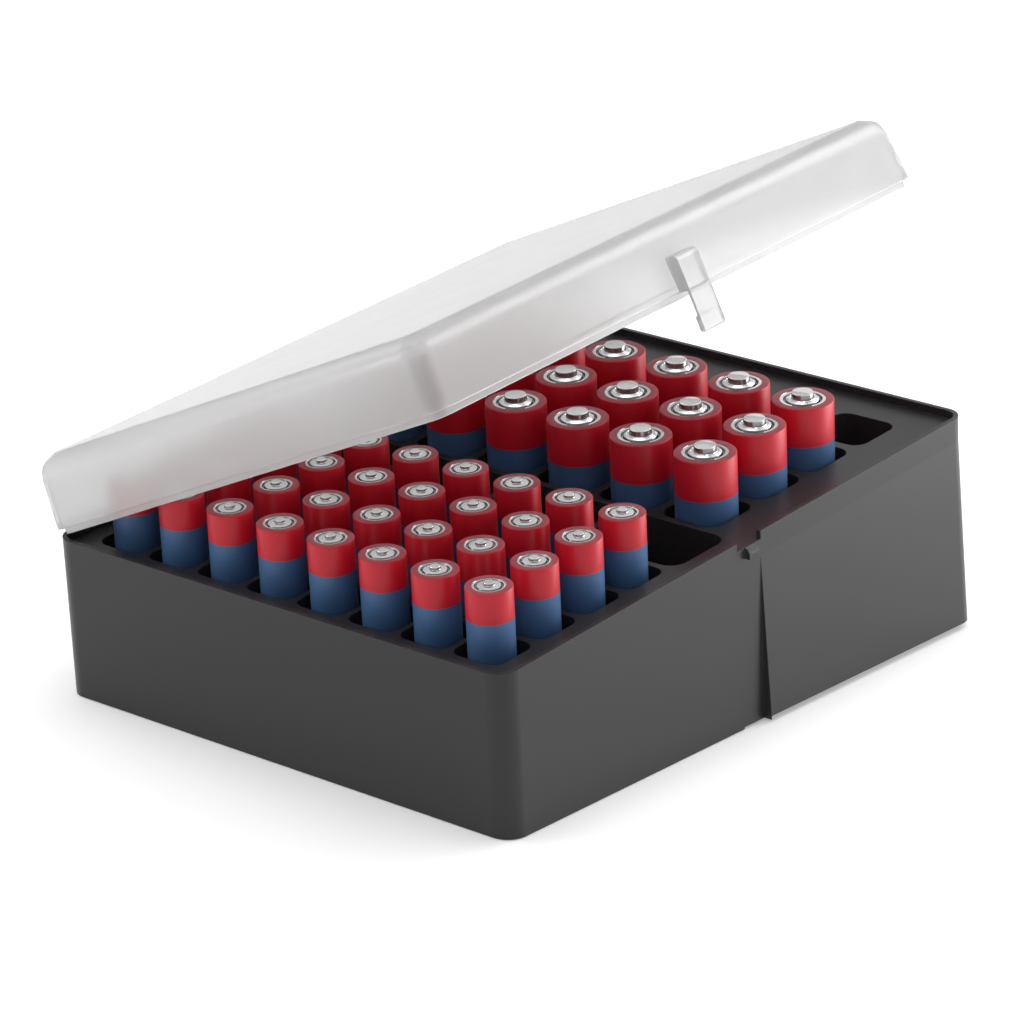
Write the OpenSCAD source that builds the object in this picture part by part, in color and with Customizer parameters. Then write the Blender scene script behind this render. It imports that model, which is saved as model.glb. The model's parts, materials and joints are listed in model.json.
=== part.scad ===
// Battery storage case: a wedge-shaped base with wells for cells, under a hinged lid that snaps shut.
// The walls and wells are square to the deck. The underside slopes against the deck, so the deck leans
// a few degrees when the case stands on a table. Everything above the underside is drawn in the deck's
// own axes, with z = 0 at the top of the rim, and placed once by on_deck().

/* [Small cells] */
// Diameter of a small cell
aaa_d = 10.5; // [9.5:0.1:11.5]
// Length of a small cell over its button
aaa_len = 44.5; // [42:0.1:47]
// Diameter of its button
aaa_button_d = 3.8; // [3:0.1:4.5]
// Height of its button over the shoulder
aaa_button_h = 0.8; // [0.5:0.1:1.2]
// Diameter of the metal disc in its top
aaa_disc_d = 7.2; // [6:0.1:8]

/* [Large cells] */
// Diameter of a large round cell
aa_d = 14.5; // [13.5:0.1:15.5]
// Length of a large cell over its button
aa_len = 50.5; // [48:0.1:53]
// Diameter of its button
aa_button_d = 5.5; // [4.5:0.1:6]
// Height of its button over the shoulder
aa_button_h = 1.8; // [1:0.1:2.2]
// Diameter of the metal disc in its top
aa_disc_d = 10.7; // [9:0.1:12]

/* [Small wells] */
// Columns of small wells
aaa_cols = 4; // [2:1:4]
// Rows of small wells
aaa_rows = 8; // [4:1:8]
// Room round a small cell in its well
aaa_room = 1.4; // [0.8:0.1:1.8]
// Corner radius of a small well
aaa_corner = 3; // [1.5:0.1:4]
// Depth of a small well below the deck
aaa_depth = 28.8; // [24:0.1:32]
// Web between small wells across the case
aaa_web_x = 2; // [1.6:0.1:3]
// Web between small wells along the case's depth
aaa_web_y = 1.5; // [1.2:0.1:3]

/* [Large wells] */
// Columns of large wells
aa_cols = 4; // [2:1:4]
// Columns of large wells that hold cells
aa_filled = 3; // [1:1:3]
// Rows of large wells
aa_rows = 6; // [3:1:6]
// Room round a large cell in its well
aa_room = 0.8; // [0.5:0.1:1.4]
// Corner radius of a large well
aa_corner = 3.5; // [1.5:0.1:5]
// Depth of a large well below the deck
aa_depth = 34.4; // [30:0.1:37]
// Web between large wells across the case
aa_web_x = 2.7; // [2:0.1:4]
// Web between large wells along the case's depth
aa_web_y = 2.2; // [1.6:0.1:3]

/* [Block cell pockets] */
// Number of pockets
pocket_count = 4; // [2:1:4]
// Width of a pocket
pocket_w = 19.7; // [18:0.1:22]
// Length of a pocket
pocket_l = 28.3; // [27:0.1:29]
// Corner radius of a pocket
pocket_corner = 4; // [2:0.1:5]
// Depth of a pocket below the deck
pocket_depth = 34.4; // [30:0.1:37]
// Web between pockets
pocket_web = 1.8; // [1.4:0.1:2.4]
// Web between the small wells and the pockets
pocket_gap_left = 1.8; // [1.4:0.1:4]
// Web between the pockets and the large wells
pocket_gap_right = 2; // [1.4:0.1:4]

/* [Base] */
// Deck between the left wall's face and the first small well
margin_left = 6.4; // [5:0.1:9]
// Deck between the last large well and the right wall's face
margin_right = 11.3; // [6:0.1:14]
// Deck between the longest row of wells and the front and back faces
margin_front = 6.2; // [5:0.1:9]
// Radius of the upright corners
corner_r = 5; // [4:0.1:8]
// Thickness of the walls below the deck
wall = 2; // [1.6:0.1:2.4]
// Thickness of the rim lip
lip_t = 1.15; // [0.9:0.05:1.6]
// Height of the rim lip over the deck
lip_h = 1.9; // [1.7:0.1:3]
// Thickness of the deck
deck_t = 2; // [1.5:0.1:3]
// Walls round the groups of wells
well_wall = 1.3; // [1:0.1:1.6]
// Floors of the wells
floor_t = 1.2; // [1:0.1:2]
// Room between the small wells' floors and the underside at the case's shallow end
foot_room = 6.9; // [6:0.1:12]
// Slope of the underside against the deck, in degrees
wedge = 5; // [3:0.5:7]

/* [Front panel] */
// Left edge of the leaning right-hand panel, from the middle of the case
panel_x = 4.2; // [3.8:0.1:8]
// Depth below the rim at which it starts to lean outward
panel_start = 6; // [5:0.1:12]
// Angle at which it leans outward
panel_lean = 3; // [1:0.5:4]
// Gap under its lower edge
panel_lift = 1.4; // [0.5:0.1:2]
// Length of the relief in the foot beside it
relief_l = 7.5; // [4:0.1:12]
// Height of that relief
relief_h = 0.5; // [0.3:0.1:1]

/* [Lid] */
// Wall of the lid
lid_wall = 1.5; // [1.2:0.1:1.8]
// Room between the tallest cell and the lid's top
head_room = 1.2; // [1:0.1:4]
// How far the skirt leans inward up to the lid's top
lid_draft = 0.7; // [0.4:0.1:3]
// Radius of the lid's top edges
lid_edge_r = 5.2; // [2.5:0.1:6]
// Gap between the closed skirt and the rim
lid_gap = 0.3; // [0.2:0.05:0.6]
// Depth to which the spigot stands inside the rim lip
spigot_h = 1.3; // [0.8:0.1:1.4]
// Thickness of the spigot
spigot_t = 1.3; // [1:0.1:1.6]
// Side gap between the spigot and the rim lip
spigot_gap = 0.35; // [0.3:0.05:0.6]
// Angle at which the lid stands open
open_angle = 25.4; // [5:0.1:95]

/* [Latch] */
// Middle of the notch in the rim lip, from the middle of the case
notch_x = -0.1; // [-2:0.1:0.2]
// Width of the notch
notch_w = 8.8; // [6:0.1:9]
// Middle of the catch, from the middle of the case
catch_x = 0.2; // [-1.5:0.1:0.3]
// Width of the catch
catch_w = 3.6; // [3:0.1:5]
// How far the catch stands out of the wall
catch_out = 1.3; // [1:0.1:1.6]
// Depth of the catch's underside below the rim
catch_foot = 4.6; // [4:0.1:5.2]
// Middle of the lid's tab, from the middle of the case
tab_x = -1.1; // [-2:0.1:-0.3]
// Width of the tab
tab_w = 7.4; // [6:0.1:8.4]
// Height at which the tab starts on the skirt
tab_top = 8.4; // [6:0.1:9]
// Depth to which the tab reaches below the rim
tab_foot = 9.6; // [8.2:0.1:11]
// Thickness of the tab's stem
tab_t = 0.8; // [0.7:0.1:1.2]
// Thickness of the hook at the tab's foot
hook_t = 1.5; // [1:0.1:1.8]
// Clearance between the hook and the catch
hook_gap = 0.3; // [0.3:0.05:0.6]

/* [Hinge] */
// Distance of each hinge from the middle of the case
hinge_x = 55; // [30:1:68]
// Distance of the hinge axis behind the back face
hinge_back = 1.3; // [1.2:0.1:2]
// Depth of the hinge axis below the rim
hinge_drop = 1.8; // [1.7:0.1:2.5]
// Radius of the lid's hinge pins
pin_r = 1; // [0.9:0.05:1.05]
// Clearance between the pins and their bores
pin_gap = 0.05; // [0.03:0.01:0.1]
// Wall of the ears round their bores
ear_wall = 1; // [0.9:0.05:1.05]
// Thickness of each ear
ear_t = 3; // [2:0.1:5]
// Width of the lid's arm between the ears
arm_w = 10; // [6:0.1:14]
// Side gap between the arm and the ears
arm_gap = 0.3; // [0.3:0.05:0.6]

/* [Underside] */
// Thickness of the bottom cover
cover_t = 2; // [1.8:0.1:3]
// Gap round the cover
cover_gap = 0.3; // [0.2:0.05:0.6]
// Radius of the cover screws
screw_r = 1.1; // [0.9:0.05:1.2]
// Length of the cover screws under the head
screw_len = 9; // [8:0.1:10]
// Radius of their heads
screw_head_r = 2.1; // [1.9:0.1:2.6]
// Height of their heads
screw_head_h = 1; // [0.8:0.1:1.2]
// Wall of the bosses that take them
boss_wall = 2; // [1.5:0.1:2.5]
// Distance between the two keyholes
keyhole_pitch = 100; // [60:1:110]
// Radius of a keyhole's head opening
keyhole_r = 4.5; // [4:0.1:6]
// Half the width of a keyhole's slot
slot_r = 2.3; // [1.8:0.1:3]
// Length of a keyhole's slot
slot_l = 9; // [7:0.1:12]

/* [Hidden] */
$fn = 48;

// names of the cells, by column and row
function aaa_name(col, row) = str("aaa_cell_", col + 1, "_", row + 1);
function aa_name(col, row) = str("aa_cell_", col + 1, "_", row + 1);
AAA_PLACES = [for (col = [0:aaa_cols - 1], row = [0:aaa_rows - 1]) [col, row]];
AA_PLACES = [for (col = [0:min(aa_filled, aa_cols) - 1], row = [0:aa_rows - 1]) [col, row]];

// wells and groups of wells, in plan
aaa_hole = aaa_d + 2 * aaa_room;
aa_hole = aa_d + 2 * aa_room;
aaa_pitch_x = aaa_hole + aaa_web_x;
aaa_pitch_y = aaa_hole + aaa_web_y;
aa_pitch_x = aa_hole + aa_web_x;
aa_pitch_y = aa_hole + aa_web_y;
pocket_pitch = pocket_l + pocket_web;
aaa_group_w = aaa_cols * aaa_pitch_x - aaa_web_x;
aa_group_w = aa_cols * aa_pitch_x - aa_web_x;
aaa_group_l = aaa_rows * aaa_pitch_y - aaa_web_y;
aa_group_l = aa_rows * aa_pitch_y - aa_web_y;
pocket_group_l = pocket_count * pocket_pitch - pocket_web;

// outline of the case at the rim
case_w = margin_left + aaa_group_w + pocket_gap_left + pocket_w + pocket_gap_right + aa_group_w + margin_right;
case_l = max(aaa_group_l, aa_group_l, pocket_group_l) + 2 * margin_front;

// middle of each group of wells
aaa_mid_x = -case_w / 2 + margin_left + aaa_group_w / 2;
pocket_mid_x = aaa_mid_x + aaa_group_w / 2 + pocket_gap_left + pocket_w / 2;
aa_mid_x = pocket_mid_x + pocket_w / 2 + pocket_gap_right + aa_group_w / 2;

// middle of one well of a row or column
function step_of(index, count, pitch) = (index - (count - 1) / 2) * pitch;
function aaa_at(col, row) = [aaa_mid_x + step_of(col, aaa_cols, aaa_pitch_x), step_of(row, aaa_rows, aaa_pitch_y)];
function aa_at(col, row) = [aa_mid_x + step_of(col, aa_cols, aa_pitch_x), step_of(row, aa_rows, aa_pitch_y)];
function pocket_at(row) = [pocket_mid_x, step_of(row, pocket_count, pocket_pitch)];

// heights: the left wall is the shallow end, the right wall the deep one
left_h = lip_h + aaa_depth + floor_t + foot_room;
right_h = left_h + case_w * tan(wedge);
spare = 10;
rim_h = case_w / 2 * sin(wedge) + left_h * cos(wedge);
shift_x = -(left_h + right_h) / 2 * sin(wedge);
deep = right_h + spare;

// lid and hinge
cell_top = -lip_h + max(aaa_len - aaa_depth, aa_len - aa_depth);
lid_top = cell_top + head_room + lid_wall;
lid_corner_r = corner_r;
axis_y = case_l / 2 + hinge_back;
axis_z = -hinge_drop;
ear_r = pin_r + pin_gap + ear_wall;
knuckle_r = ear_r - 0.2;
swing_gap = 0.3;
// reach from the hinge axis to the inner edge of the rim lip
lip_reach = norm([hinge_back + lip_t, hinge_drop]);

// bosses under the webs where four wells meet, near the corners of the two outer groups
boss_r = screw_r + boss_wall;
pilot_gap = 0.05;
small_boss_z = -lip_h - aaa_depth - floor_t;
large_boss_z = -lip_h - aa_depth - floor_t;
small_boss_x = aaa_at(0, 0)[0] + aaa_pitch_x / 2;
large_boss_x = aa_at(aa_cols - 1, 0)[0] - aa_pitch_x / 2;
small_boss_y = aaa_at(0, 0)[1] + aaa_pitch_y / 2;
large_boss_y = aa_at(0, 0)[1] + aa_pitch_y / 2;

// x on the floor's axes of a point given on the deck's axes
function floor_x(x, z) = x * cos(wedge) - z * sin(wedge) + shift_x;
BOSSES = [
    [floor_x(small_boss_x, small_boss_z), small_boss_y, small_boss_z],
    [floor_x(small_boss_x, small_boss_z), -small_boss_y, small_boss_z],
    [floor_x(large_boss_x, large_boss_z), large_boss_y, large_boss_z],
    [floor_x(large_boss_x, large_boss_z), -large_boss_y, large_boss_z]
];

// from the deck's axes to the floor's
module on_deck() {
    translate([shift_x, 0, rim_h]) rotate([0, -wedge, 0]) children();
}

// a profile in y and z, extruded along x about the middle x
module along_x(x, width) {
    translate([x - width / 2, 0, 0]) rotate([90, 0, 90]) linear_extrude(width) children();
}

// a round bar about the hinge axis
module on_axis(x, r, width) {
    along_x(x, width) translate([axis_y, axis_z]) circle(r);
}

// a rectangle with round corners
module round_rect(w, l, r) {
    square([w - 2 * r, l], center = true);
    square([w, l - 2 * r], center = true);
    for (sx = [-1, 1], sy = [-1, 1]) translate([sx * (w / 2 - r), sy * (l / 2 - r)]) circle(r);
}

// points of an arc about a centre
function arc(cx, cy, r, from, to, steps) = [
    for (i = [0:steps]) [cx + r * cos(from + (to - from) * i / steps), cy + r * sin(from + (to - from) * i / steps)]
];

// the openings of the wells, in plan
module aaa_openings() {
    for (col = [0:aaa_cols - 1], row = [0:aaa_rows - 1])
        translate(aaa_at(col, row)) round_rect(aaa_hole, aaa_hole, aaa_corner);
}

module aa_openings() {
    for (col = [0:aa_cols - 1], row = [0:aa_rows - 1])
        translate(aa_at(col, row)) round_rect(aa_hole, aa_hole, aa_corner);
}

module pocket_openings() {
    for (row = [0:pocket_count - 1])
        translate(pocket_at(row)) round_rect(pocket_w, pocket_l, pocket_corner);
}

// a group of wells hanging from the deck: walls round the openings, and one floor
module well_group(mid_x, w, l, depth) {
    outer_w = w + 2 * well_wall;
    outer_l = l + 2 * well_wall;
    top = -lip_h - deck_t / 2;
    bottom = -lip_h - depth;
    translate([0, 0, bottom]) linear_extrude(top - bottom) difference() {
        translate([mid_x, 0]) square([outer_w, outer_l], center = true);
        children();
    }
    translate([mid_x - outer_w / 2, -outer_l / 2, bottom - floor_t]) cube([outer_w, outer_l, floor_t]);
}

// turns what it holds about the line where the right-hand panel starts to lean
module leaning() {
    translate([0, -case_l / 2, -panel_start]) rotate([-panel_lean, 0, 0]) translate([0, case_l / 2, panel_start]) children();
}

// the base's outer form, or its hollow when it is drawn smaller by inset
module base_form(inset, top) {
    r = corner_r - inset;
    translate([0, 0, -deep]) linear_extrude(deep + top) round_rect(case_w - 2 * inset, case_l - 2 * inset, r);
    intersection() {
        leaning() translate([0, 0, -deep]) linear_extrude(deep + top) round_rect(case_w - 2 * inset, case_l - 2 * inset, r);
        translate([panel_x + inset, -case_l, -deep]) cube([case_w, case_l, deep - panel_start]);
    }
}

// the catch under the notch: a nose with a sloping top and a flat underside
module catch() {
    root = -case_l / 2 + wall / 2;
    face = -case_l / 2;
    nose = face - catch_out;
    along_x(catch_x, catch_w) polygon([
        [root, -lip_h], [face, -lip_h], [face - catch_out * 0.6, -lip_h - 0.4], [nose, -lip_h - 1.3],
        [nose, -catch_foot], [root, -catch_foot]
    ]);
}

// the room for one hinge arm: an opening in the rim lip and a hollow for the knuckle in the back wall
module arm_room(x) {
    room_w = arm_w + 2 * arm_gap;
    on_axis(x, knuckle_r + swing_gap, room_w);
    translate([x - room_w / 2, case_l / 2 - wall, -lip_h]) cube([room_w, wall + 1, lip_h + 1]);
}

// one hinge ear on the back wall, with a gusset that runs down the wall
module ear(x) {
    gusset = 35;
    root = case_l / 2 - wall / 2;
    tip = [axis_y + ear_r * cos(gusset), axis_z - ear_r * sin(gusset)];
    foot = tip[1] - (tip[0] - root) / tan(gusset);
    along_x(x, ear_t) difference() {
        union() {
            translate([axis_y, axis_z]) circle(ear_r);
            polygon([[root, axis_z], [axis_y, axis_z], tip, [root, foot]]);
        }
        translate([axis_y, axis_z]) circle(pin_r + pin_gap);
    }
}

module case_base() {
    ear_x = arm_w / 2 + arm_gap + ear_t / 2;
    foot_x = floor_x(panel_x, -left_h - (panel_x + case_w / 2) * tan(wedge));
    color("#232326") difference() {
        union() {
            on_deck() {
                difference() {
                    base_form(0, 0);
                    base_form(wall, -lip_h - deck_t);
                    translate([0, 0, -lip_h]) linear_extrude(lip_h + 1)
                        round_rect(case_w - 2 * lip_t, case_l - 2 * lip_t, corner_r - lip_t);
                    translate([0, 0, -lip_h - deck_t - 1]) linear_extrude(deck_t + 2) {
                        aaa_openings();
                        aa_openings();
                        pocket_openings();
                    }
                    translate([notch_x - notch_w / 2, -case_l / 2 - 1, -lip_h]) cube([notch_w, wall + 1, lip_h + 1]);
                    for (side = [-1, 1]) arm_room(side * hinge_x);
                }
                well_group(aaa_mid_x, aaa_group_w, aaa_group_l, aaa_depth) aaa_openings();
                well_group(pocket_mid_x, pocket_w, pocket_group_l, pocket_depth) pocket_openings();
                well_group(aa_mid_x, aa_group_w, aa_group_l, aa_depth) aa_openings();
                catch();
                for (side = [-1, 1], ear_side = [-1, 1]) ear(side * hinge_x + ear_side * ear_x);
            }
            for (b = BOSSES) translate([b[0], b[1], cover_t])
                cylinder(r = boss_r, h = rim_h + b[2] * cos(wedge) + (b[0] - shift_x) * sin(wedge) - cover_t);
        }
        for (b = BOSSES) translate([b[0], b[1], cover_t - 1])
            cylinder(r = screw_r + pilot_gap, h = screw_len + 1);
        translate([-case_w, -case_l, -deep]) cube([2 * case_w, 2 * case_l, deep]);
        translate([foot_x, -case_l, -1]) cube([case_w, case_l / 2 + wall, panel_lift + 1]);
        translate([foot_x - relief_l, -case_l, -1]) cube([relief_l + 1, case_l / 2 + wall, relief_h + 1]);
    }
}

// a keyhole: a wall screw's head goes in at the round end and its shank up the slot
module keyhole(x) {
    translate([x, 0, -1]) cylinder(r = keyhole_r, h = cover_t + 2);
    translate([x, slot_l, -1]) cylinder(r = slot_r, h = cover_t + 2);
    translate([x - slot_r, 0, -1]) cube([2 * slot_r, slot_l, cover_t + 2]);
}

module bottom_cover() {
    color("#2a2a2d") difference() {
        intersection() {
            on_deck() base_form(wall + cover_gap, -lip_h - deck_t);
            translate([-case_w, -case_l, 0]) cube([2 * case_w, 2 * case_l, cover_t]);
        }
        for (b = BOSSES) translate([b[0], b[1], -1]) {
            cylinder(r = screw_r + 0.3, h = cover_t + 2);
            cylinder(r = screw_head_r + 0.15, h = screw_head_h + 1);
        }
        for (side = [-1, 1]) keyhole(side * keyhole_pitch / 2);
    }
}

module cover_screws() {
    cross_w = 0.7;
    cross_l = screw_head_r * 1.2;
    color("silver") for (b = BOSSES) translate([b[0], b[1], 0]) difference() {
        union() {
            cylinder(r = screw_head_r, h = screw_head_h);
            cylinder(r = screw_r, h = screw_head_h + screw_len - 1);
        }
        for (turn = [0, 90]) rotate(turn) translate([-cross_l / 2, -cross_w / 2, -1]) cube([cross_l, cross_w, 1.5]);
    }
}

// the lid's outer form, or its inside when it is drawn smaller by inset
module lid_form(inset, bottom) {
    r = lid_corner_r - inset;
    edge = lid_edge_r - inset;
    lean = lid_draft + lid_edge_r;
    band = 0.8; // height over which the skirt stands upright
    hull() for (sx = [-1, 1], sy = [-1, 1]) {
        translate([sx * (case_w / 2 - lid_corner_r), sy * (case_l / 2 - lid_corner_r), bottom])
            cylinder(r = r, h = lid_gap + band - bottom, $fn = 32);
        translate([sx * (case_w / 2 - lean), sy * (case_l / 2 - lean), lid_top - lid_edge_r])
            sphere(r = edge, $fn = 32);
    }
}

// a ring that follows the outline between two insets
module outline_ring(inset, thickness, bottom, height) {
    translate([0, 0, bottom]) linear_extrude(height) difference() {
        round_rect(case_w - 2 * inset, case_l - 2 * inset, corner_r - inset);
        round_rect(case_w - 2 * (inset + thickness), case_l - 2 * (inset + thickness), max(corner_r - inset - thickness, 0.5));
    }
}

// the tab on the skirt: a flat stem that hangs past the rim and a hook at its foot
module tab() {
    face = -case_l / 2;
    hook_in = face - catch_out - hook_gap;
    out = hook_in - hook_t;
    stem_in = out + tab_t;
    foot_r = hook_t / 2;
    shoulder_r = 1.6;
    hook_top = -catch_foot - 0.4;
    along_x(tab_x, tab_w) polygon(concat(
        [[face + lid_wall * 0.7, lid_gap], [face + lid_wall * 0.9, tab_top], [face, tab_top]],
        arc(out + shoulder_r, tab_top - shoulder_r - 0.2, shoulder_r, 80, 180, 6),
        arc(out + foot_r, -tab_foot + foot_r, foot_r, 180, 360, 8),
        [[hook_in, hook_top - 0.5], [stem_in, hook_top], [stem_in, lid_gap - 0.3], [face - 0.3, lid_gap]]
    ));
}

// one hinge arm: a curved strap from the skirt to a knuckle, with a pin on each side
module hinge_arm(x) {
    slope = 40;
    root = case_l / 2 - lid_wall * 0.8;
    tip = [axis_y + knuckle_r * cos(slope), axis_z + knuckle_r * sin(slope)];
    on_axis(x, knuckle_r, arm_w);
    along_x(x, arm_w) polygon([
        [root, lid_gap + 0.6], [axis_y - knuckle_r, axis_z], [axis_y, axis_z], tip,
        [root, tip[1] + (tip[0] - root) / tan(slope)]
    ]);
    on_axis(x, pin_r, arm_w + 2 * (arm_gap + ear_t) - 1);
}

module closed_lid() {
    difference() {
        lid_form(0, lid_gap);
        lid_form(lid_wall, lid_gap - 1);
    }
    ring_in = lip_t + spigot_gap;
    band_in = 0.4;
    outline_ring(band_in, ring_in + spigot_t - band_in, lid_gap, 1.4);
    // the back of the spigot is hollowed, so that it swings clear of the rim lip
    difference() {
        outline_ring(ring_in, spigot_t, -spigot_h, lid_gap + spigot_h + 0.5);
        on_axis(0, lip_reach + swing_gap, case_w);
    }
    tab();
    for (side = [-1, 1]) hinge_arm(side * hinge_x);
}

module lid() {
    color("white", 0.6) on_deck() translate([0, axis_y, axis_z]) rotate([-open_angle, 0, 0])
        translate([0, -axis_y, -axis_z]) closed_lid();
}

// a round cell standing on the floor of its well: a can with a rolled shoulder and a dished disc with a button
module cell(place, depth, d, len, button_d, button_h, disc_d) {
    r = d / 2;
    shoulder = len - button_h;
    edge = 0.7;
    dish = 0.45;
    rim = disc_d / 2;
    button = button_d / 2;
    on_deck() translate([place[0], place[1], -lip_h - depth]) rotate_extrude() polygon(concat(
        [[0, 0]],
        arc(r - edge, edge, edge, 270, 360, 3),
        arc(r - edge, shoulder - edge, edge, 0, 90, 4),
        [[rim + 0.25, shoulder], [rim, shoulder - dish], [button + 0.7, shoulder - dish], [button, shoulder]],
        [[button, len - 0.3], [button - 0.3, len], [0, len]]
    ));
}

module aaa_cell(col, row) {
    color("firebrick") cell(aaa_at(col, row), aaa_depth, aaa_d, aaa_len, aaa_button_d, aaa_button_h, aaa_disc_d);
}

module aa_cell(col, row) {
    color("firebrick") cell(aa_at(col, row), aa_depth, aa_d, aa_len, aa_button_d, aa_button_h, aa_disc_d);
}

case_base();
bottom_cover();
cover_screws();
lid();
for (p = AAA_PLACES) aaa_cell(p[0], p[1]);
for (p = AA_PLACES) aa_cell(p[0], p[1]);
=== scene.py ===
# %% [markdown]
# # A battery storage case, part open
#
# The case is a black wedge-shaped box with square wells, in which small and large round cells stand.
# A frosted lid is hinged along its back edge. The walls and wells are square to the deck, and the
# underside slopes, so the deck and all the cells lean five degrees when the case stands on a table.
#
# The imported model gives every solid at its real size. This lesson adds what makes it look real: detailed
# cells with printed wraps and steel ends, a moulded lid with soft edges, plastics with a fine grain,
# a pale floor, studio light and the camera.

import json
import math

import bpy
from mathutils import Matrix, Vector


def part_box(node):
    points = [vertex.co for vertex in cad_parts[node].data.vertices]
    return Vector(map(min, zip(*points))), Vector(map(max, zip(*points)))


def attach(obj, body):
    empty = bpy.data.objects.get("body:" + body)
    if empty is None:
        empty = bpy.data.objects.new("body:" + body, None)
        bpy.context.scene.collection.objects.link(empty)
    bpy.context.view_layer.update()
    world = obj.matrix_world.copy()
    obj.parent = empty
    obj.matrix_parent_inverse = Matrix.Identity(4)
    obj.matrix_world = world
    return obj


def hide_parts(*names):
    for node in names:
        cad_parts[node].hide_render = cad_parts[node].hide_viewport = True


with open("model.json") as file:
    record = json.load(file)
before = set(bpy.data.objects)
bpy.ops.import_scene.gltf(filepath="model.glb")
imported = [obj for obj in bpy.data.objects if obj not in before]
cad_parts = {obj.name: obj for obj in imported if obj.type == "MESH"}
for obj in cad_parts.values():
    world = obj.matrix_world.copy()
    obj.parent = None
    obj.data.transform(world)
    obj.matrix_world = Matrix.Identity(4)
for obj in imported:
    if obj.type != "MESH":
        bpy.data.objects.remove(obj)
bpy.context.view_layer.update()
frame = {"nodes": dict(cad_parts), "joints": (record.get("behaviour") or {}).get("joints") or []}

# %% [markdown]
# ## The deck's own axes
#
# Pieces are easiest to model upright, so each is made on the deck's axes: x along the front wall, y towards
# the hinges, z square to the deck with zero at the top of the rim. The hinge joint tells how far these axes
# lean. Its axis runs along the deck's x, and it lies a known depth below the rim.

# %% Work out where the deck lies
MM = 0.001
MICRON = 0.001 * MM
RIM_W = 172.9 * MM
RIM_L = 131 * MM
HINGE_DROP = 1.8 * MM

hinge = frame["joints"][0]
hinge_point = Vector(hinge["pos_m"])
deck_x = -Vector(hinge["axis"])
deck_up = deck_x.cross(Vector((0, 1, 0)))
lean = math.atan2(deck_x.z, deck_x.x)
open_angle = math.radians(-hinge["range_deg"][0])
deck_origin = hinge_point + deck_up * HINGE_DROP
deck_origin.y = 0
on_deck = Matrix.Translation(deck_origin) @ Matrix.Rotation(-lean, 4, "Y")
axis_on_deck = Vector((0, hinge_point.y, -HINGE_DROP))
lid_at_rest = (
    on_deck
    @ Matrix.Translation(axis_on_deck)
    @ Matrix.Rotation(-open_angle, 4, "X")
    @ Matrix.Translation(-axis_on_deck)
)
print("the deck leans", round(math.degrees(lean), 2), "degrees, its origin is at", deck_origin)

# %% [markdown]
# ## Working by hand, in code
#
# Blender's operators act on whatever is selected. These helpers do what a hand does with the mouse: pick one
# object, open it in edit mode, and pick faces or edges by where they lie. A face looks along an axis when
# nearly all of its normal does. Two heights are the same when they are nearer than a small tolerance.

# %% Helpers for selecting
FACING = 0.9
NEAR = 0.01 * MM
CLOSE = 0.05 * MM


def leave_edit():
    bpy.ops.object.mode_set(mode="OBJECT")


def only(piece):
    """Makes one object the only selected one, and the active one."""
    if bpy.context.mode != "OBJECT":
        leave_edit()
    bpy.ops.object.select_all(action="DESELECT")
    piece.select_set(True)
    bpy.context.view_layer.objects.active = piece


def edit(piece):
    only(piece)
    bpy.ops.object.mode_set(mode="EDIT")


def pick_faces(piece, test):
    """In edit mode, selects the faces whose middle and normal pass a test, and counts them."""
    bpy.ops.mesh.select_mode(type="FACE")
    bpy.ops.mesh.select_all(action="DESELECT")
    leave_edit()
    for face in piece.data.polygons:
        face.select = test(face.center, face.normal)
    count = sum(face.select for face in piece.data.polygons)
    bpy.ops.object.mode_set(mode="EDIT")
    return count


def pick_edges(piece, test):
    """In edit mode, selects the edges whose two ends pass a test, and counts them."""
    bpy.ops.mesh.select_mode(type="EDGE")
    bpy.ops.mesh.select_all(action="DESELECT")
    leave_edit()
    points = piece.data.vertices
    for corner in points:
        corner.select = False
    for face in piece.data.polygons:
        face.select = False
    for edge in piece.data.edges:
        edge.select = test(points[edge.vertices[0]].co, points[edge.vertices[1]].co)
    count = sum(edge.select for edge in piece.data.edges)
    bpy.ops.object.mode_set(mode="EDIT")
    return count


print("selecting with tolerances of", NEAR, "and", CLOSE, "metres")

# %% [markdown]
# Shaping takes few tools: a new block, a cut at one height all round, faces drawn out by a step, and a
# modifier that is applied at once. No mould has perfectly sharp corners, so one helper rounds every sharp
# edge a little.

# %% Helpers for shaping
FINE_EDGE = 0.18 * MM
FINE_STEPS = 2
SHARP = math.radians(50)


def take_new(name):
    """Names the object that was just added, and puts its place and size into its mesh."""
    piece = bpy.context.active_object
    piece.name = name
    only(piece)
    bpy.ops.object.transform_apply(location=True, rotation=True, scale=True)
    return piece


def add_block(name, low, high):
    """A block between two corners."""
    size = [b - a for a, b in zip(low, high)]
    middle = [(a + b) / 2 for a, b in zip(low, high)]
    bpy.ops.mesh.primitive_cube_add(size=1, location=middle, scale=size)
    return take_new(name)


def cut_level(height):
    """In edit mode, cuts new edges all round the mesh at one height."""
    bpy.ops.mesh.select_all(action="SELECT")
    bpy.ops.mesh.bisect(plane_co=(0, 0, height), plane_no=(0, 0, 1))


def draw_out(step):
    """In edit mode, extrudes the selected faces by a step."""
    bpy.ops.mesh.extrude_region_move(TRANSFORM_OT_translate={"value": step})


def round_edges(radius, steps):
    """In edit mode, rounds the selected edges."""
    bpy.ops.mesh.bevel(offset=radius, segments=steps, affect="EDGES")


def apply_modifier(piece, kind, **settings):
    only(piece)
    modifier = piece.modifiers.new(kind.lower(), kind)
    for key, value in settings.items():
        setattr(modifier, key, value)
    bpy.ops.object.modifier_apply(modifier=modifier.name)


def soften(piece):
    """Rounds every sharp edge of a piece a little."""
    apply_modifier(
        piece, "BEVEL", width=FINE_EDGE, segments=FINE_STEPS, limit_method="ANGLE", angle_limit=SHARP
    )


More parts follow.
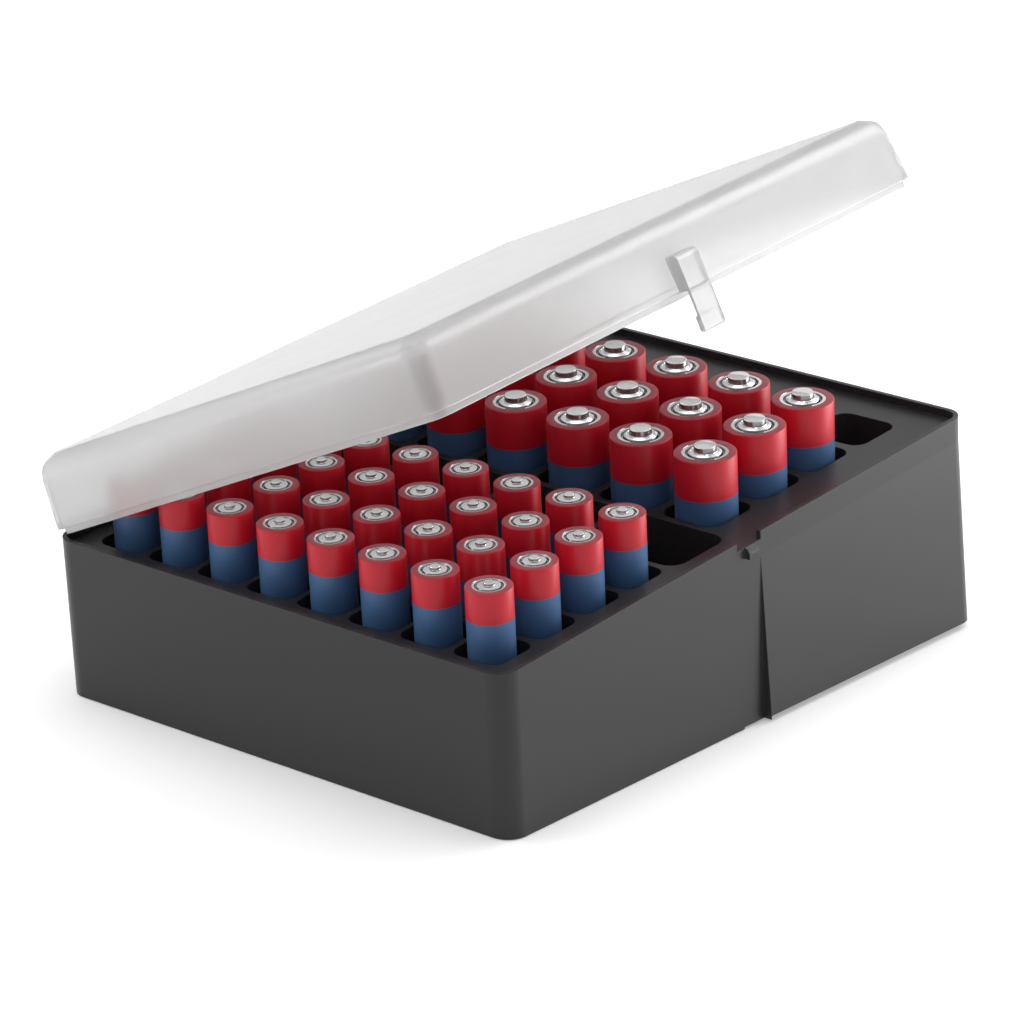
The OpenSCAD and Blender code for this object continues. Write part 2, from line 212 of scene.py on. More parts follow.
def finish_piece(piece, place, angle):
    """Moves a piece's mesh to its place, and shades it smooth where its faces meet at less than an angle."""
    only(piece)
    piece.data.transform(place)
    piece.data.update()
    bpy.ops.object.shade_smooth_by_angle(angle=math.radians(angle))


print("sharp edges get a radius of", FINE_EDGE, "metres")

# %% [markdown]
# ## Materials
#
# Moulded plastic is never quite even: the tool's surface leaves a fine grain, and gloss varies slowly over
# a wall. One node group makes both, for the plastics and, much finer, for the steel. It only gives values
# that change over the surface: a roughness, and a normal that also rounds an edge where that is asked for.
# Each material keeps its own shader.

# %% The grain that all the materials share
GRAIN_DEFAULTS = {
    "Grain per metre": 4000, "Grain depth": 20 * MICRON, "Roughness": 0.4, "Spread": 0.08, "Edge radius": 0,
}
FINE_DETAIL = 2
SLOW_PER_METRE = 45
SLOW_DETAIL = 3
NOISE_MIDDLE = 0.5
EDGE_SAMPLES = 4


def add_math(tree, operation, *values):
    """A Math node, fed with plain numbers or with the outputs of other nodes. Gives its own output."""
    node = tree.nodes.new("ShaderNodeMath")
    node.operation = operation
    for socket, value in zip(node.inputs, values):
        if isinstance(value, bpy.types.NodeSocket):
            tree.links.new(value, socket)
        else:
            socket.default_value = value
    return node.outputs[0]


def make_grain_group():
    """Fine noise for the grain's bump, and slow noise for the changes in gloss."""
    group = bpy.data.node_groups.new("moulded_grain", "ShaderNodeTree")
    sockets = group.interface
    for name, value in GRAIN_DEFAULTS.items():
        sockets.new_socket(name, in_out="INPUT", socket_type="NodeSocketFloat").default_value = value
    sockets.new_socket("Roughness", in_out="OUTPUT", socket_type="NodeSocketFloat")
    sockets.new_socket("Normal", in_out="OUTPUT", socket_type="NodeSocketVector")
    nodes, links = group.nodes, group.links
    given = nodes.new("NodeGroupInput")
    made = nodes.new("NodeGroupOutput")
    place = nodes.new("ShaderNodeTexCoord")

    fine = nodes.new("ShaderNodeTexNoise")
    fine.inputs["Detail"].default_value = FINE_DETAIL
    links.new(place.outputs["Object"], fine.inputs["Vector"])
    links.new(given.outputs["Grain per metre"], fine.inputs["Scale"])
    soft_edge = nodes.new("ShaderNodeBevel")
    soft_edge.samples = EDGE_SAMPLES
    links.new(given.outputs["Edge radius"], soft_edge.inputs["Radius"])
    bump = nodes.new("ShaderNodeBump")
    bump.inputs["Strength"].default_value = 1
    links.new(fine.outputs["Fac"], bump.inputs["Height"])
    links.new(given.outputs["Grain depth"], bump.inputs["Distance"])
    links.new(soft_edge.outputs["Normal"], bump.inputs["Normal"])
    links.new(bump.outputs["Normal"], made.inputs["Normal"])

    slow = nodes.new("ShaderNodeTexNoise")
    slow.inputs["Scale"].default_value = SLOW_PER_METRE
    slow.inputs["Detail"].default_value = SLOW_DETAIL
    links.new(place.outputs["Object"], slow.inputs["Vector"])
    centred = add_math(group, "SUBTRACT", slow.outputs["Fac"], NOISE_MIDDLE)
    gloss = add_math(group, "MULTIPLY_ADD", centred, given.outputs["Spread"], given.outputs["Roughness"])
    links.new(gloss, made.inputs["Roughness"])
    return group


grain_group = make_grain_group()


def new_material(name, colour, metallic=0.0, specular=0.5):
    """A material with one Principled shader."""
    material = bpy.data.materials.new(name)
    material.use_nodes = True
    shader = material.node_tree.nodes["Principled BSDF"]
    shader.inputs["Base Color"].default_value = (*colour, 1)
    shader.inputs["Metallic"].default_value = metallic
    shader.inputs["Specular IOR Level"].default_value = specular
    return material, shader


def add_grain(material, shader, roughness, spread, per_metre, depth, edge=0.0):
    """Puts the shared grain into a material, with its own values."""
    tree = material.node_tree
    grain = tree.nodes.new("ShaderNodeGroup")
    grain.node_tree = grain_group
    grain.inputs["Roughness"].default_value = roughness
    grain.inputs["Spread"].default_value = spread
    grain.inputs["Grain per metre"].default_value = per_metre
    grain.inputs["Grain depth"].default_value = depth
    grain.inputs["Edge radius"].default_value = edge
    tree.links.new(grain.outputs["Roughness"], shader.inputs["Roughness"])
    tree.links.new(grain.outputs["Normal"], shader.inputs["Normal"])


print("the grain takes", list(GRAIN_DEFAULTS))

# %% [markdown]
# The case is satin black, and the cover beneath it is duller, with a coarser grain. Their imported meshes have
# sharp corners, so the grain's edge radius makes these catch the light as if they were rounded.

# %% The case, its cover and the screws
SOFT_EDGE = 0.3 * MM

case_black, shader = new_material("case_black", (0.03, 0.03, 0.032), specular=0.28)
add_grain(
    case_black, shader, roughness=0.34, spread=0.08, per_metre=5000, depth=8 * MICRON, edge=SOFT_EDGE
)

cover_black, shader = new_material("cover_black", (0.035, 0.035, 0.038))
add_grain(
    cover_black, shader, roughness=0.6, spread=0.1, per_metre=3000, depth=30 * MICRON, edge=SOFT_EDGE
)

screw_steel, shader = new_material("screw_steel", (0.6, 0.6, 0.62), metallic=1.0)
add_grain(screw_steel, shader, roughness=0.3, spread=0.1, per_metre=3000, depth=10 * MICRON)
print("materials", case_black.name, cover_black.name, screw_steel.name)

# %% [markdown]
# The lid is frosted polypropylene: light goes through it, but nothing behind it is sharp. It is a rough
# transmission mixed with a milky body that light spreads in, under a thin gloss. A ray that comes from the
# camera, or that comes by way of the lid itself or of a mirror, finds the lid two thirds clear, so that the
# cells show through it. Every other ray finds it mostly milky, and this keeps the lid bright, as in the
# photograph.

# %% The frosted lid
LID_CLEAR_LEAST = 0.14
LID_CLEAR_MORE = 0.54
LID_BODY = {
    "IOR": 1.45,
    "Subsurface Weight": 0.6,
    "Subsurface Radius": (1, 1, 1),
    "Subsurface Scale": 2 * MM,
    "Coat Weight": 0.2,
    "Coat Roughness": 0.1,
}

lid_frosted, shader = new_material("lid_frosted", (0.96, 0.96, 0.96))
add_grain(lid_frosted, shader, roughness=0.26, spread=0.05, per_metre=2500, depth=3 * MICRON)
for name, value in LID_BODY.items():
    shader.inputs[name].default_value = value
lid_tree = lid_frosted.node_tree
ray = lid_tree.nodes.new("ShaderNodeLightPath")
through = add_math(lid_tree, "MAXIMUM", ray.outputs["Is Camera Ray"], ray.outputs["Is Transmission Ray"])
mirrored = add_math(lid_tree, "MAXIMUM", through, ray.outputs["Is Glossy Ray"])
clear = add_math(lid_tree, "MULTIPLY_ADD", mirrored, LID_CLEAR_MORE, LID_CLEAR_LEAST)
lid_tree.links.new(clear, shader.inputs["Transmission Weight"])
print("the lid is clear by", LID_CLEAR_LEAST, "to", round(LID_CLEAR_LEAST + LID_CLEAR_MORE, 2))

# %% [markdown]
# The cells have a satin printed wrap, red over blue. Where the wrap folds over the shoulder it is the same
# red wrap, painted a duller, greyer red as a painted sheen of the grazing light. Their ends are plated steel.
# The steep faces between the steel's rings get a darker steel of their own: painted shade and painted dark
# reflection.

# %% The cells' wraps and steel
WRAP_GRAIN = {"roughness": 0.4, "spread": 0.08, "per_metre": 1500, "depth": 10 * MICRON}
FOLD_GRAIN = {"roughness": 0.35, "spread": 0.05, "per_metre": 1500, "depth": 10 * MICRON}
METAL_GRAIN = {"roughness": 0.1, "spread": 0.06, "per_metre": 1200, "depth": 2 * MICRON}
STEEP_GRAIN = {"roughness": 0.22, "spread": 0.06, "per_metre": 1200, "depth": 2 * MICRON}

wrap_red, shader = new_material("wrap_red", (0.56, 0.008, 0.022), specular=0.42)
add_grain(wrap_red, shader, **WRAP_GRAIN)
wrap_blue, shader = new_material("wrap_blue", (0.058, 0.132, 0.28), specular=0.42)
add_grain(wrap_blue, shader, **WRAP_GRAIN)
# Painted sheen: the fold over the shoulder is the same red wrap, given a duller, greyer red for the light
# grazing it.
shoulder_painted_sheen, shader = new_material("shoulder_painted_sheen", (0.36, 0.045, 0.06), specular=0.35)
add_grain(shoulder_painted_sheen, shader, **FOLD_GRAIN)
cell_metal, shader = new_material("cell_metal", (0.94, 0.94, 0.93), metallic=1.0)
add_grain(cell_metal, shader, **METAL_GRAIN)
# Painted shade: the steep faces of the ends are the same steel, given a darker colour for the shade and dark
# reflections on them.
cell_steep, shader = new_material("cell_steep", (0.26, 0.26, 0.27), metallic=1.0)
add_grain(cell_steep, shader, **STEEP_GRAIN)
print("materials", [material.name for material in bpy.data.materials])

# %% [markdown]
# ## One cell, then fifty
#
# A round cell is a can in a shrunk plastic wrap. The wrap folds over the shoulder and stops short of a
# dished steel disc, in whose middle the button stands. One cell of each size is modelled upright from a
# cylinder: a cut where the two colours meet, then insets and moves of the top face, one ring at a time.
# The finished cell is then copied into every well that holds one.

# %% Model a cell
SIDES = 64
ROUNDING_STEPS = 3


def ring_step(radius_now, radius_next, rise):
    """Extrudes the selected round face, rescales it to its next radius and moves it up or down."""
    share = radius_next / radius_now
    draw_out((0, 0, rise))
    bpy.ops.transform.resize(value=(share, share, 1))
    return radius_next


def model_cell(name, radius, shoulder, band, rings):
    """A cell standing on the origin, with one ring for each (radius, rise) step of its top face."""
    bpy.ops.mesh.primitive_cylinder_add(
        vertices=SIDES, radius=radius, depth=shoulder, location=(0, 0, shoulder / 2), end_fill_type="NGON"
    )
    cell = take_new(name)
    edit(cell)
    cut_level(shoulder - band)
    pick_faces(cell, lambda middle, normal: normal.z > FACING)
    now = radius
    for radius_next, rise in rings:
        now = ring_step(now, radius_next * MM, rise * MM)
    leave_edit()
    return cell


def round_over(cell, height, radius, size):
    """Rounds the ring of edges at one height and radius."""

    def on_ring(a, b):
        level = abs(a.z - height) < NEAR and abs(b.z - height) < NEAR
        return level and all(abs(math.hypot(p.x, p.y) - radius) < 2 * NEAR for p in (a, b))

    edit(cell)
    pick_edges(cell, on_ring)
    round_edges(size, ROUNDING_STEPS)
    leave_edit()


print("each cell has", SIDES, "sides")

# %% [markdown]
# The colours go on face by face. What counts is how far out a face lies, how high it lies and how steep
# it is.

# %% Dress a cell
RED, BLUE, SHOULDER_SHEEN, METAL, STEEP_SHADE = range(5)
WRAPS = (wrap_red, wrap_blue, shoulder_painted_sheen, cell_metal, cell_steep)
FOOT_DISC_OUT = 0.8
FOOT_DISC_UP = 0.08
BLUE_OUT = 0.97
RED_OUT = 0.965
FOLD_DROP = 1 * MM
DISH_DROP = 0.3 * MM
LEVEL = 0.49


def dress_cell(cell, radius, shoulder, band, wrap_end):
    """Gives a cell's faces their wrap, the painted sheen on the shoulder, the metal, and painted shade on the
    steep steel. Four of the limits are shares of the radius.
    """
    for material in WRAPS:
        cell.data.materials.append(material)
    for face in cell.data.polygons:
        out = math.hypot(face.center.x, face.center.y)
        up = face.center.z
        if up < radius * FOOT_DISC_UP and out < radius * FOOT_DISC_OUT:
            face.material_index = METAL
        elif out > radius * BLUE_OUT and up < shoulder - band:
            face.material_index = BLUE
        elif out > radius * RED_OUT:
            face.material_index = RED
        # The fold over the shoulder gets the painted sheen.
        elif out > wrap_end and up > shoulder - FOLD_DROP:
            face.material_index = SHOULDER_SHEEN
        elif up < shoulder - band:
            face.material_index = BLUE
        # Steep faces, and faces sunk into the dish, get the painted shade.
        elif face.normal.z < LEVEL or up < shoulder - DISH_DROP:
            face.material_index = STEEP_SHADE
        else:
            face.material_index = METAL


print("a cell's materials", [material.name for material in WRAPS])

# %% [markdown]
# The rings are read from the photograph, in millimetres: each pair is the next radius, and how far the face
# rises on the way there. A small cell's disc starts 3.68 mm from its axis, dips, and climbs to a button
# 1 mm in radius. A large cell's button stands higher. The red band ends a given way below the shoulder.

# %% Build the small cell and the large cell
SMALL_R = 5.25 * MM
SMALL_SHOULDER = 43.7 * MM
SMALL_BAND = 7.1 * MM
SMALL_WRAP_END = 3.66 * MM
SMALL_TOP_EDGE = 0.3 * MM
SMALL_FOOT_EDGE = 0.5 * MM
SMALL_RINGS = (
    (3.68, 0), (3.64, -0.1), (3.22, 0), (3.04, -0.35), (2.78, 0), (2.6, 0.4), (1.9, 0.15), (1.5, 0.05),
    (1.34, 0), (1.28, 0.05), (1.2, 0.47), (1.12, 0.1), (1, 0.03),
)
small_cell = model_cell("small_cell", SMALL_R, SMALL_SHOULDER, SMALL_BAND, SMALL_RINGS)
round_over(small_cell, SMALL_SHOULDER, SMALL_R, SMALL_TOP_EDGE)
round_over(small_cell, 0, SMALL_R, SMALL_FOOT_EDGE)
dress_cell(small_cell, SMALL_R, SMALL_SHOULDER, SMALL_BAND, SMALL_WRAP_END)
print("faces of a small cell", len(small_cell.data.polygons))

LARGE_R = 7.25 * MM
LARGE_SHOULDER = 48.7 * MM
LARGE_BAND = 9.5 * MM
LARGE_WRAP_END = 5.36 * MM
LARGE_TOP_EDGE = 0.35 * MM
LARGE_FOOT_EDGE = 0.6 * MM
LARGE_RINGS = (
    (5.38, 0), (5.34, -0.12), (4.6, 0), (4.35, -0.45), (4.05, 0), (3.85, 0.55), (3.3, 0.3), (3.22, -0.1),
    (2.85, 0), (2.72, 0.1), (2.55, 1.25), (2.42, 0.18), (2.2, 0.09),
)
large_cell = model_cell("large_cell", LARGE_R, LARGE_SHOULDER, LARGE_BAND, LARGE_RINGS)
round_over(large_cell, LARGE_SHOULDER, LARGE_R, LARGE_TOP_EDGE)
round_over(large_cell, 0, LARGE_R, LARGE_FOOT_EDGE)
dress_cell(large_cell, LARGE_R, LARGE_SHOULDER, LARGE_BAND, LARGE_WRAP_END)
print("faces of a large cell", len(large_cell.data.polygons))

# %% [markdown]
# Each CAD cell says where its well is. Its box is widest at the foot, where the can's lowest corner touches
# the well's floor, so the foot's middle follows from the box, the can's radius and the lean.

# %% Stand a cell in every well that holds one
CAD_FOOT_EDGE = 0.7 * MM
CELL_SMOOTH = 25


def foot_of(node, radius):
    """The middle of a leaning can's foot, from its CAD node's box. The can's foot has a rounded edge."""
    low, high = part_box(node)
    flat = radius - CAD_FOOT_EDGE
    x = high.x - flat * math.cos(lean) - CAD_FOOT_EDGE * (1 - math.sin(lean))
    z = low.z + flat * math.sin(lean) + CAD_FOOT_EDGE * (1 - math.cos(lean))
    return Vector((x, (low.y + high.y) / 2, z))


def fill_wells(model, prefix, radius):
    """Copies a cell into the place of every CAD cell of its size, and counts them."""
    count = 0
    turn = Matrix.Rotation(-lean, 4, "Y")
    for node in sorted(frame["nodes"]):
        if not node.startswith(prefix):
            continue
        cell = model.copy()
        cell.data = model.data.copy()
        cell.name = node.replace("aaa_cell", "small_cell").replace("aa_cell", "large_cell")
        bpy.context.scene.collection.objects.link(cell)
        finish_piece(cell, Matrix.Translation(foot_of(node, radius)) @ turn, angle=CELL_SMOOTH)
        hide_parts(node)
        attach(cell, "base")
        count += 1
    bpy.data.objects.remove(model)
    return count


print("small cells", fill_wells(small_cell, "aaa_cell", SMALL_R))
print("large cells", fill_wells(large_cell, "aa_cell", LARGE_R))

# %% [markdown]
# ## The lid
#
# The lid is one moulding: a shallow tray turned over, with a spigot that stands inside the rim, a snap tab
# on its front and two arms with pins at its back. It is modelled shut, on the deck's axes. A block gets its
# draft and its round edges first, because they are easy to pick while the block is plain. Then the bottom
# face goes, and Solidify gives the shell its wall, so that the inside follows the outside everywhere.

# %% Shape the lid's shell
LID_GAP = 0.3 * MM
LID_TOP = 16.9 * MM
BAND_TOP = 1.1 * MM
DRAFT = 1.04 * MM
LID_EDGE_R = 5.1 * MM
LID_EDGE_STEPS = 10
SHORT = 0.1 * MM


def round_on_lid(a, b):
    """The upright edges and the ring of edges round the top."""
    upright = abs(a.z - b.z) > SHORT
    return upright or min(a.z, b.z) > LID_TOP - SHORT


half_w, half_l = RIM_W / 2, RIM_L / 2
lid_shell = add_block("frosted_lid", (-half_w, -half_l, LID_GAP), (half_w, half_l, LID_TOP))
edit(lid_shell)
cut_level(BAND_TOP)
pick_faces(lid_shell, lambda middle, normal: normal.z > FACING)
bpy.ops.transform.resize(value=(1 - DRAFT / half_w, 1 - DRAFT / half_l, 1), center_override=(0, 0, 0))
edges = pick_edges(lid_shell, round_on_lid)
round_edges(LID_EDGE_R, LID_EDGE_STEPS)
leave_edit()
print("rounded", edges, "edges of the lid, faces now", len(lid_shell.data.polygons))

# %% [markdown]
# Solidify leaves a flat rim under the skirt. The inside of the band is pushed in to make a ledge, and the
# ledge's underside is drawn down to make the spigot. At the back the spigot's outer foot leans in, so that
# it swings clear of the rim lip.

# %% Hollow the shell and draw out the spigot
LID_WALL = 1.5 * MM
LEDGE_TOP = 1.7 * MM
SPIGOT_T = 1.3 * MM
SPIGOT_FOOT = -1.3 * MM
SPIGOT_LEAN = 0.5 * MM
SPIGOT_REACH = 0.2 * MM
STEEPEST = 0.3


def inside_band(middle, normal):
    """The inner faces of the band: they look towards the middle of the lid."""
    inward = middle.x * normal.x + middle.y * normal.y < 0
    return inward and abs(normal.z) < STEEPEST and middle.z < LEDGE_TOP


def under_ledge(middle, normal):
    """The underside of the ledge, without the rim of the skirt outside it."""
    side, end = half_w - abs(middle.x), half_l - abs(middle.y)
    inset = min(side, end)
    if side < LID_EDGE_R and end < LID_EDGE_R:
        inset = LID_EDGE_R - math.hypot(LID_EDGE_R - side, LID_EDGE_R - end)
    return normal.z < -FACING and middle.z < LID_GAP + CLOSE and inset > LID_WALL


def outer_foot(a, b):
    """The lowest outer edges of the spigot along the back."""
    return max(a.z, b.z) < SPIGOT_FOOT + CLOSE and min(a.y, b.y) > half_l - LID_WALL - SPIGOT_REACH


edit(lid_shell)
pick_faces(lid_shell, lambda middle, normal: normal.z < -FACING and middle.z < LID_GAP + NEAR)
bpy.ops.mesh.delete(type="ONLY_FACE")
cut_level(LEDGE_TOP)
leave_edit()
apply_modifier(lid_shell, "SOLIDIFY", thickness=LID_WALL, offset=-1, use_even_offset=True)

edit(lid_shell)
ledge = pick_faces(lid_shell, inside_band)
bpy.ops.mesh.extrude_region_shrink_fatten(
    TRANSFORM_OT_shrink_fatten={"value": SPIGOT_T, "use_even_offset": True}
)
leave_edit()

edit(lid_shell)
spigot = pick_faces(lid_shell, under_ledge)
draw_out((0, 0, SPIGOT_FOOT - LID_GAP))
pick_edges(lid_shell, outer_foot)
bpy.ops.transform.translate(value=(0, -SPIGOT_LEAN, 0))
leave_edit()
soften(lid_shell)
print("ledge faces", ledge, "spigot faces", spigot, "all", len(lid_shell.data.polygons))

# %% [markdown]
# The snap tab starts as a thin upright strip. Its upper part is drawn back into the skirt, and its foot is
# drawn back a little to make the hook that grips the catch. Its top and its foot are rounded.

# %% Model the tab
TAB_X = -1.1 * MM
TAB_W = 7.4 * MM
TAB_OUT = -half_l - 3.1 * MM
TAB_T = 0.8 * MM
TAB_TOP = 8.4 * MM
TAB_FOOT = -9.6 * MM
TAB_BLOCK = 0.1 * MM
TAB_ROOT = LID_WALL + 2 * MM
TAB_TOP_R = 1.6 * MM
TAB_TOP_STEPS = 8
TAB_FOOT_R = 0.65 * MM
TAB_FOOT_STEPS = 6
HOOK_TOP = -5.8 * MM
HOOK_GROWTH = 0.7 * MM
FLAT = math.radians(1)


def top_front(a, b):
    return min(a.z, b.z) > TAB_TOP - NEAR and max(a.y, b.y) < TAB_OUT + NEAR


def foot_across(a, b):
    return max(a.z, b.z) < TAB_FOOT + NEAR and abs(a.x - b.x) > MM


tab_low = (TAB_X - TAB_W / 2, TAB_OUT, TAB_FOOT)
tab_high = (TAB_X + TAB_W / 2, TAB_OUT + TAB_T, TAB_TOP)
tab = add_block("tab", tab_low, tab_high)
edit(tab)
cut_level(TAB_BLOCK)
cut_level(HOOK_TOP)
pick_faces(tab, lambda middle, normal: normal.y > FACING and middle.z > TAB_BLOCK)
draw_out((0, TAB_ROOT, 0))
pick_faces(tab, lambda middle, normal: normal.y > FACING and middle.z < HOOK_TOP)
draw_out((0, HOOK_GROWTH, 0))
bpy.ops.mesh.select_all(action="SELECT")
bpy.ops.mesh.dissolve_limited(angle_limit=FLAT)
pick_edges(tab, top_front)
round_edges(TAB_TOP_R, TAB_TOP_STEPS)
pick_edges(tab, foot_across)
round_edges(TAB_FOOT_R, TAB_FOOT_STEPS)
leave_edit()
soften(tab)
print("tab faces", len(tab.data.polygons))

# %% [markdown]
# Each arm is a short strap from the skirt to a round knuckle, with a pin through it that turns in the ears
# on the case. The strap is a block whose edges are moved to their places in the side view: its root reaches
# up and down on the skirt, and its tip is cut back under the knuckle.

# %% Model the two arms
ARM_X = 55 * MM
ARM_W = 10 * MM
KNUCKLE_R = 1.85 * MM
PIN_R = 1 * MM
PIN_L = 15.6 * MM
BAR_SIDES = 40
STRAP_INSET = 0.2 * MM
STRAP_ROOT = half_l - 0.8 * LID_WALL
ROOT_TOP = 4 * MM
ROOT_BOTTOM = 0.9 * MM
TIP_BACK = 0.7 * KNUCKLE_R
TIP_UP = 0.6 * KNUCKLE_R
TIP_CUT = 1.5 * KNUCKLE_R
axis_y, axis_z = axis_on_deck.y, axis_on_deck.z


def add_bar(name, x, radius, length):
    """A round bar along the hinge axis."""
    bpy.ops.mesh.primitive_cylinder_add(
        vertices=BAR_SIDES,
        radius=radius,
        depth=length,
        location=(x, axis_y, axis_z),
        rotation=(0, math.pi / 2, 0),
    )
    bar = take_new(name)
    soften(bar)
    return bar


def add_strap(x):
    """The strap of one arm. Each of its moves names the edge by the half in which both of its ends lie."""
    half = ARM_W / 2 - STRAP_INSET
    tip_y, tip_z = axis_y + TIP_BACK, axis_z + TIP_UP
    strap = add_block("strap", (x - half, STRAP_ROOT, axis_z), (x + half, tip_y, tip_z))
    middle_y, middle_z = (STRAP_ROOT + tip_y) / 2, (axis_z + tip_z) / 2

    def root_top(a, b):
        return max(a.y, b.y) < middle_y and min(a.z, b.z) > middle_z

    def root_bottom(a, b):
        return max(a.y, b.y) < middle_y and max(a.z, b.z) < middle_z

    def tip_bottom(a, b):
        return min(a.y, b.y) > middle_y and max(a.z, b.z) < middle_z

    moves = (
        (root_top, (0, 0, ROOT_TOP - tip_z)),
        (root_bottom, (0, 0, ROOT_BOTTOM - axis_z)),
        (tip_bottom, (0, -TIP_CUT, 0)),
    )
    edit(strap)
    for test, step in moves:
        pick_edges(strap, test)
        bpy.ops.transform.translate(value=step)
    leave_edit()
    return strap


arms = []
for side in (-1, 1):
    arms.append(add_strap(side * ARM_X))
    arms.append(add_bar("knuckle", side * ARM_X, KNUCKLE_R, ARM_W))
    arms.append(add_bar("pin", side * ARM_X, PIN_R, PIN_L))
print("parts of the arms", len(arms))

# %% [markdown]
# The shell, the tab and the arms overlap, so a union of each with the shell leaves one closed mesh. Weighted
# normals keep the flat faces flat to the eye beside their rounded edges.

# %% Join the lid
LID_SMOOTH = 35


def weld(body, extra):
    """Joins two closed shapes into one closed shape."""
    apply_modifier(body, "BOOLEAN", operation="UNION", solver="EXACT", object=extra)
    bpy.data.objects.remove(extra)


for extra in (tab, *arms):
    weld(lid_shell, extra)
lid_shell.data.materials.clear()
lid_shell.data.materials.append(lid_frosted)
finish_piece(lid_shell, lid_at_rest, angle=LID_SMOOTH)
apply_modifier(lid_shell, "WEIGHTED_NORMAL", keep_sharp=True)
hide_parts("lid")
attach(lid_shell, "lid")
print("lid faces", len(lid_shell.data.polygons))

# %% [markdown]
# ## The case and its cover
#
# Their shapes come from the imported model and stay. Only their finish is given here.

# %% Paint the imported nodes
def paint(node, material):
    piece = frame["nodes"][node]
    piece.data.materials.clear()
    piece.data.materials.append(material)
    print("painted", node, "with", material.name)


paint("case_base", case_black)
paint("bottom_cover", cover_black)
paint("cover_screws", screw_steel)

# %% [markdown]
# ## Floor, light and camera
#
# The photograph is a catalogue picture: a white ground and a soft shadow. The floor shines a little for the
# rays that look at it, also through the lid and in mirrors, and that lifts it to white. It adds no soft light
# to the case, and the shadow stays.

# %% The floor
FLOOR_SIZE = 6
FLOOR_DROP = 0.2 * MM
FLOOR_SHINE = 0.2

bpy.ops.mesh.primitive_plane_add(size=FLOOR_SIZE, location=(0, 0, -FLOOR_DROP))
floor = bpy.context.active_object
floor.name = "floor"
floor_white, shader = new_material("floor_white", (0.92, 0.92, 0.92), specular=0.0)
shader.inputs["Roughness"].default_value = 1
shader.inputs["Emission Color"].default_value = (1, 1, 1, 1)
floor_tree = floor_white.node_tree
ray = floor_tree.nodes.new("ShaderNodeLightPath")
looks = add_math(floor_tree, "MAXIMUM", ray.outputs["Is Camera Ray"], ray.outputs["Is Glossy Ray"])
looks = add_math(floor_tree, "MAXIMUM", looks, ray.outputs["Is Transmission Ray"])
shine = add_math(floor_tree, "MULTIPLY", looks, FLOOR_SHINE)
floor_tree.links.new(shine, shader.inputs["Emission Strength"])
floor.data.materials.append(floor_white)
print("floor", FLOOR_SIZE, "metres wide")

# %% [markdown]
# The sky is plain white, and darker on the camera's side. What faces the camera then mirrors the darker part,
# so the black case stays black. The camera itself sees the sky at full white.

# %% The sky
SKY_FRONT = 0.42
SKY_BACK = 0.74
DIM_FROM = 0.2
DIM_TO = 0.85
CAMERA_SIDE = Vector((-0.78, -0.63, 0)).normalized()

world = bpy.data.worlds.new("studio")
bpy.context.scene.world = world
world.use_nodes = True
sky_tree = world.node_tree
sky = sky_tree.nodes["Background"]
sky.inputs["Color"].default_value = (1, 1, 1, 1)
place = sky_tree.nodes.new("ShaderNodeTexCoord")
towards = sky_tree.nodes.new("ShaderNodeVectorMath")
towards.operation = "DOT_PRODUCT"
towards.inputs[1].default_value = CAMERA_SIDE
sky_tree.links.new(place.outputs["Generated"], towards.inputs[0])
dim = sky_tree.nodes.new("ShaderNodeMapRange")
dim.interpolation_type = "SMOOTHSTEP"
dim.inputs["From Min"].default_value = DIM_FROM
dim.inputs["From Max"].default_value = DIM_TO
dim.inputs["To Min"].default_value = SKY_BACK
dim.inputs["To Max"].default_value = SKY_FRONT
sky_tree.links.new(towards.outputs["Value"], dim.inputs["Value"])
ray = sky_tree.nodes.new("ShaderNodeLightPath")
strength = add_math(sky_tree, "MAXIMUM", dim.outputs["Result"], ray.outputs["Is Camera Ray"])
sky_tree.links.new(strength, sky.inputs["Strength"])
print("the sky's strength goes from", SKY_FRONT, "to", SKY_BACK)

# %% [markdown]
# Five softboxes give the light its direction. Two hang high, one above the case and one to the right. A low
# one at the right lights the front panel, and weak ones at the left and at the back brighten the left wall
# and the edges. The camera doesn't see any of them. Sizes and places are in metres, powers in watts.

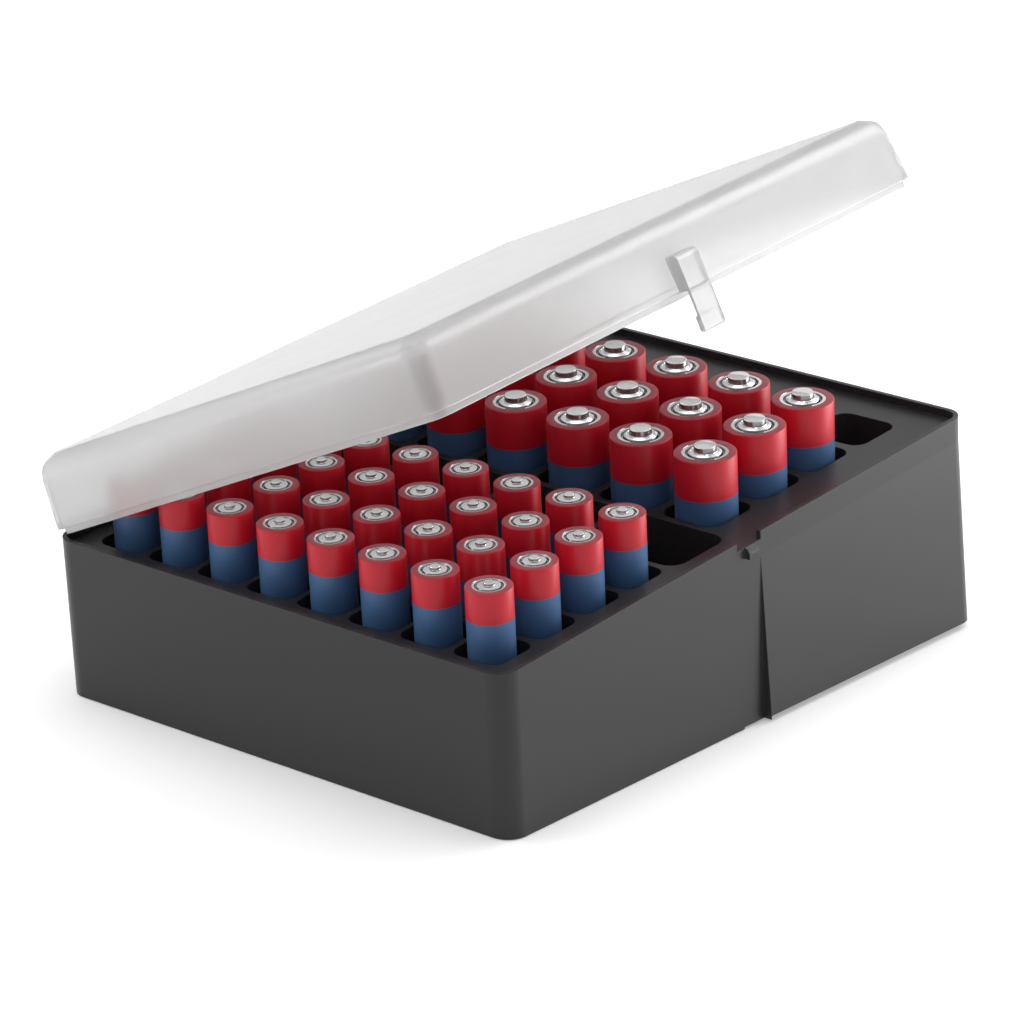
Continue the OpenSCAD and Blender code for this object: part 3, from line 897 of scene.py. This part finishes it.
# %% The lamps
SOFTBOXES = (
    # name, place, target, width, height, power
    ("softbox_above", (-0.1, 0.1, 1.2), (0, 0, 0), 0.7, 0.7, 4),
    ("softbox_high", (0.85, -0.2, 0.8), (0, 0, 0.05), 0.6, 0.6, 3.4),
    ("softbox_right", (0.4, -0.34, 0.08), (0.12, -0.08, 0.01), 0.34, 0.15, 1.7),
    ("softbox_left", (-0.5, 0.45, 0.25), (-0.09, 0.06, 0.03), 0.3, 0.3, 0.9),
    ("softbox_back", (-0.12, 0.85, 0.42), (-0.05, 0, 0.08), 0.5, 0.2, 0.4),
)


def add_softbox(name, place, target, width, height, power):
    """A rectangular lamp that looks at its target."""
    light = bpy.data.lights.new(name, "AREA")
    light.shape = "RECTANGLE"
    light.size = width
    light.size_y = height
    light.energy = power
    lamp = bpy.data.objects.new(name, light)
    lamp.location = place
    lamp.rotation_mode = "QUATERNION"
    lamp.rotation_quaternion = (Vector(target) - Vector(place)).to_track_quat("-Z", "Y")
    lamp.visible_camera = False
    bpy.context.scene.collection.objects.link(lamp)


for softbox in SOFTBOXES:
    add_softbox(*softbox)
print("lamps", [softbox[0] for softbox in SOFTBOXES])

# %% [markdown]
# The camera's place was worked out from the photograph: a long lens, a little over a metre away, seen from
# the left of the front and twenty degrees above the table.

# %% The camera
CAMERA_AZIMUTH = math.radians(-51.083)
CAMERA_ELEVATION = math.radians(19.722)
CAMERA_ROLL = math.radians(0.727)
CAMERA_TARGET = Vector((0.00959, 0.01312, 0.03))
CAMERA_DISTANCE = 1.04468
SENSOR_WIDTH = 36
LENS = 155.815

back = Vector(
    (
        math.sin(CAMERA_AZIMUTH) * math.cos(CAMERA_ELEVATION),
        -math.cos(CAMERA_AZIMUTH) * math.cos(CAMERA_ELEVATION),
        math.sin(CAMERA_ELEVATION),
    )
)
camera_data = bpy.data.cameras.new("camera")
camera_data.sensor_width = SENSOR_WIDTH
camera_data.lens = LENS
camera = bpy.data.objects.new("camera", camera_data)
camera.rotation_mode = "QUATERNION"
level = (-back).to_track_quat("-Z", "Y")
camera.rotation_quaternion = level @ Matrix.Rotation(CAMERA_ROLL, 3, "Z").to_quaternion()
camera.location = CAMERA_TARGET + back * CAMERA_DISTANCE
bpy.context.scene.collection.objects.link(camera)
bpy.context.scene.camera = camera
bpy.context.scene.view_settings.view_transform = "Standard"
print("the camera stands at", camera.location)
